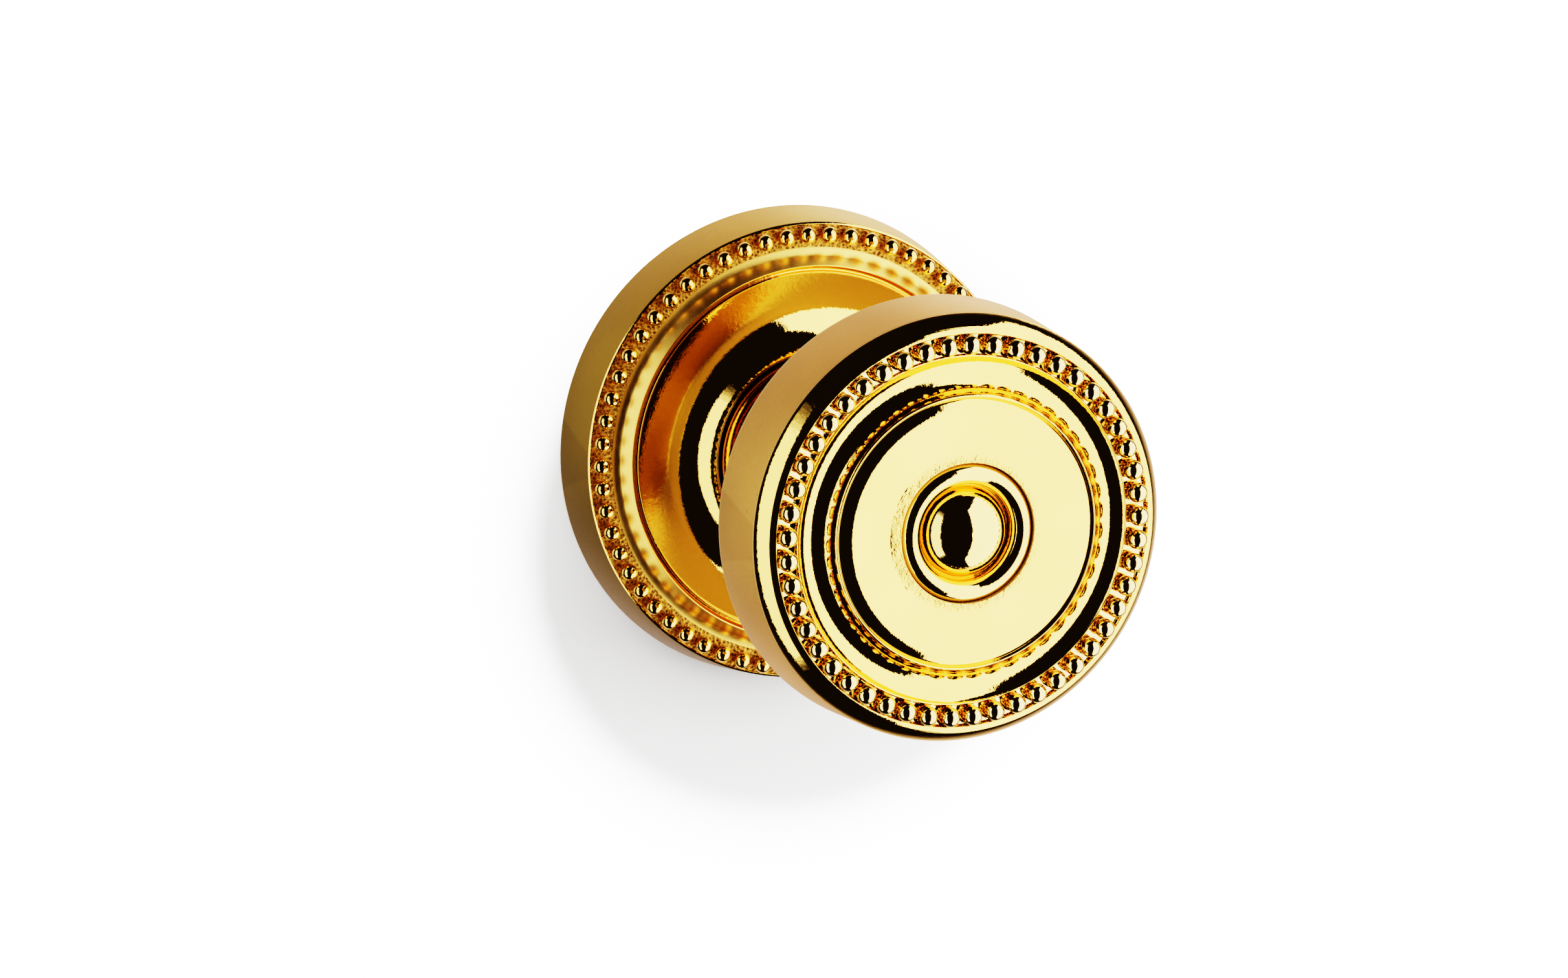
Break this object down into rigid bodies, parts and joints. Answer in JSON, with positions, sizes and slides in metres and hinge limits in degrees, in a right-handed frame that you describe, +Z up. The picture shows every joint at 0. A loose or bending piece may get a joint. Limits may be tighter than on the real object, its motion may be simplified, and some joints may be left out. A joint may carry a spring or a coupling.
{
  "type": "door knob",
  "caption": "Polished brass drum-shaped door knob with beaded front on a round beaded rose, sprung to return, with square spindle and bolt posts for the door.",
  "frame": {"origin": "on the knob's axis, in the plane of the door's face that the rose rests on", "axes": "-Y along the knob's axis out of the door towards the user, +Y along the spindle into the door, +Z up, +X to the right for a user facing the door"},
  "size_m": [0.0666, 0.1135, 0.0666],
  "materials": {
    "brass_rose": "polished, with a satin side band",
    "brass_knob": "polished, with a satin side band",
    "plate_steel": "zinc plated",
    "zinc": "die cast",
    "nylon": "moulded",
    "bronze": "turned",
    "spring_steel": "drawn wire",
    "spindle_steel": "cold drawn",
    "black_steel": "black oxide"
  },
  "bodies": {
    "rose": {"rose_cover": "brass_rose", "rose_set_screw": "black_steel", "mounting_plate": "plate_steel", "neck_bush": "nylon", "cassette_body": "zinc", "cassette_screws": "plate_steel", "bolt_posts": "plate_steel", "post_screws": "plate_steel", "return_spring": "spring_steel"},
    "knob": {"thrust_washer": "bronze", "drive_hub": "zinc", "clip_washer": "plate_steel", "retaining_clip": "black_steel", "knob_shank": "brass_knob", "knob_back_shell": "brass_knob", "head_dowels": "plate_steel", "knob_face": "brass_knob", "face_boss": "brass_knob", "tie_bolt": "black_steel", "tie_washer": "plate_steel", "spindle": "spindle_steel", "spindle_set_screw": "black_steel"}
  },
  "joints": [
    {"name": "knob_turn", "type": "hinge", "parent": "rose", "child": "knob", "pos_m": [0, 0, 0], "axis": [0, -1, 0], "range_deg": [-50, 50], "stiffness_Nm_per_rad": 0.35, "deforming": ["return_spring"]}
  ]
}
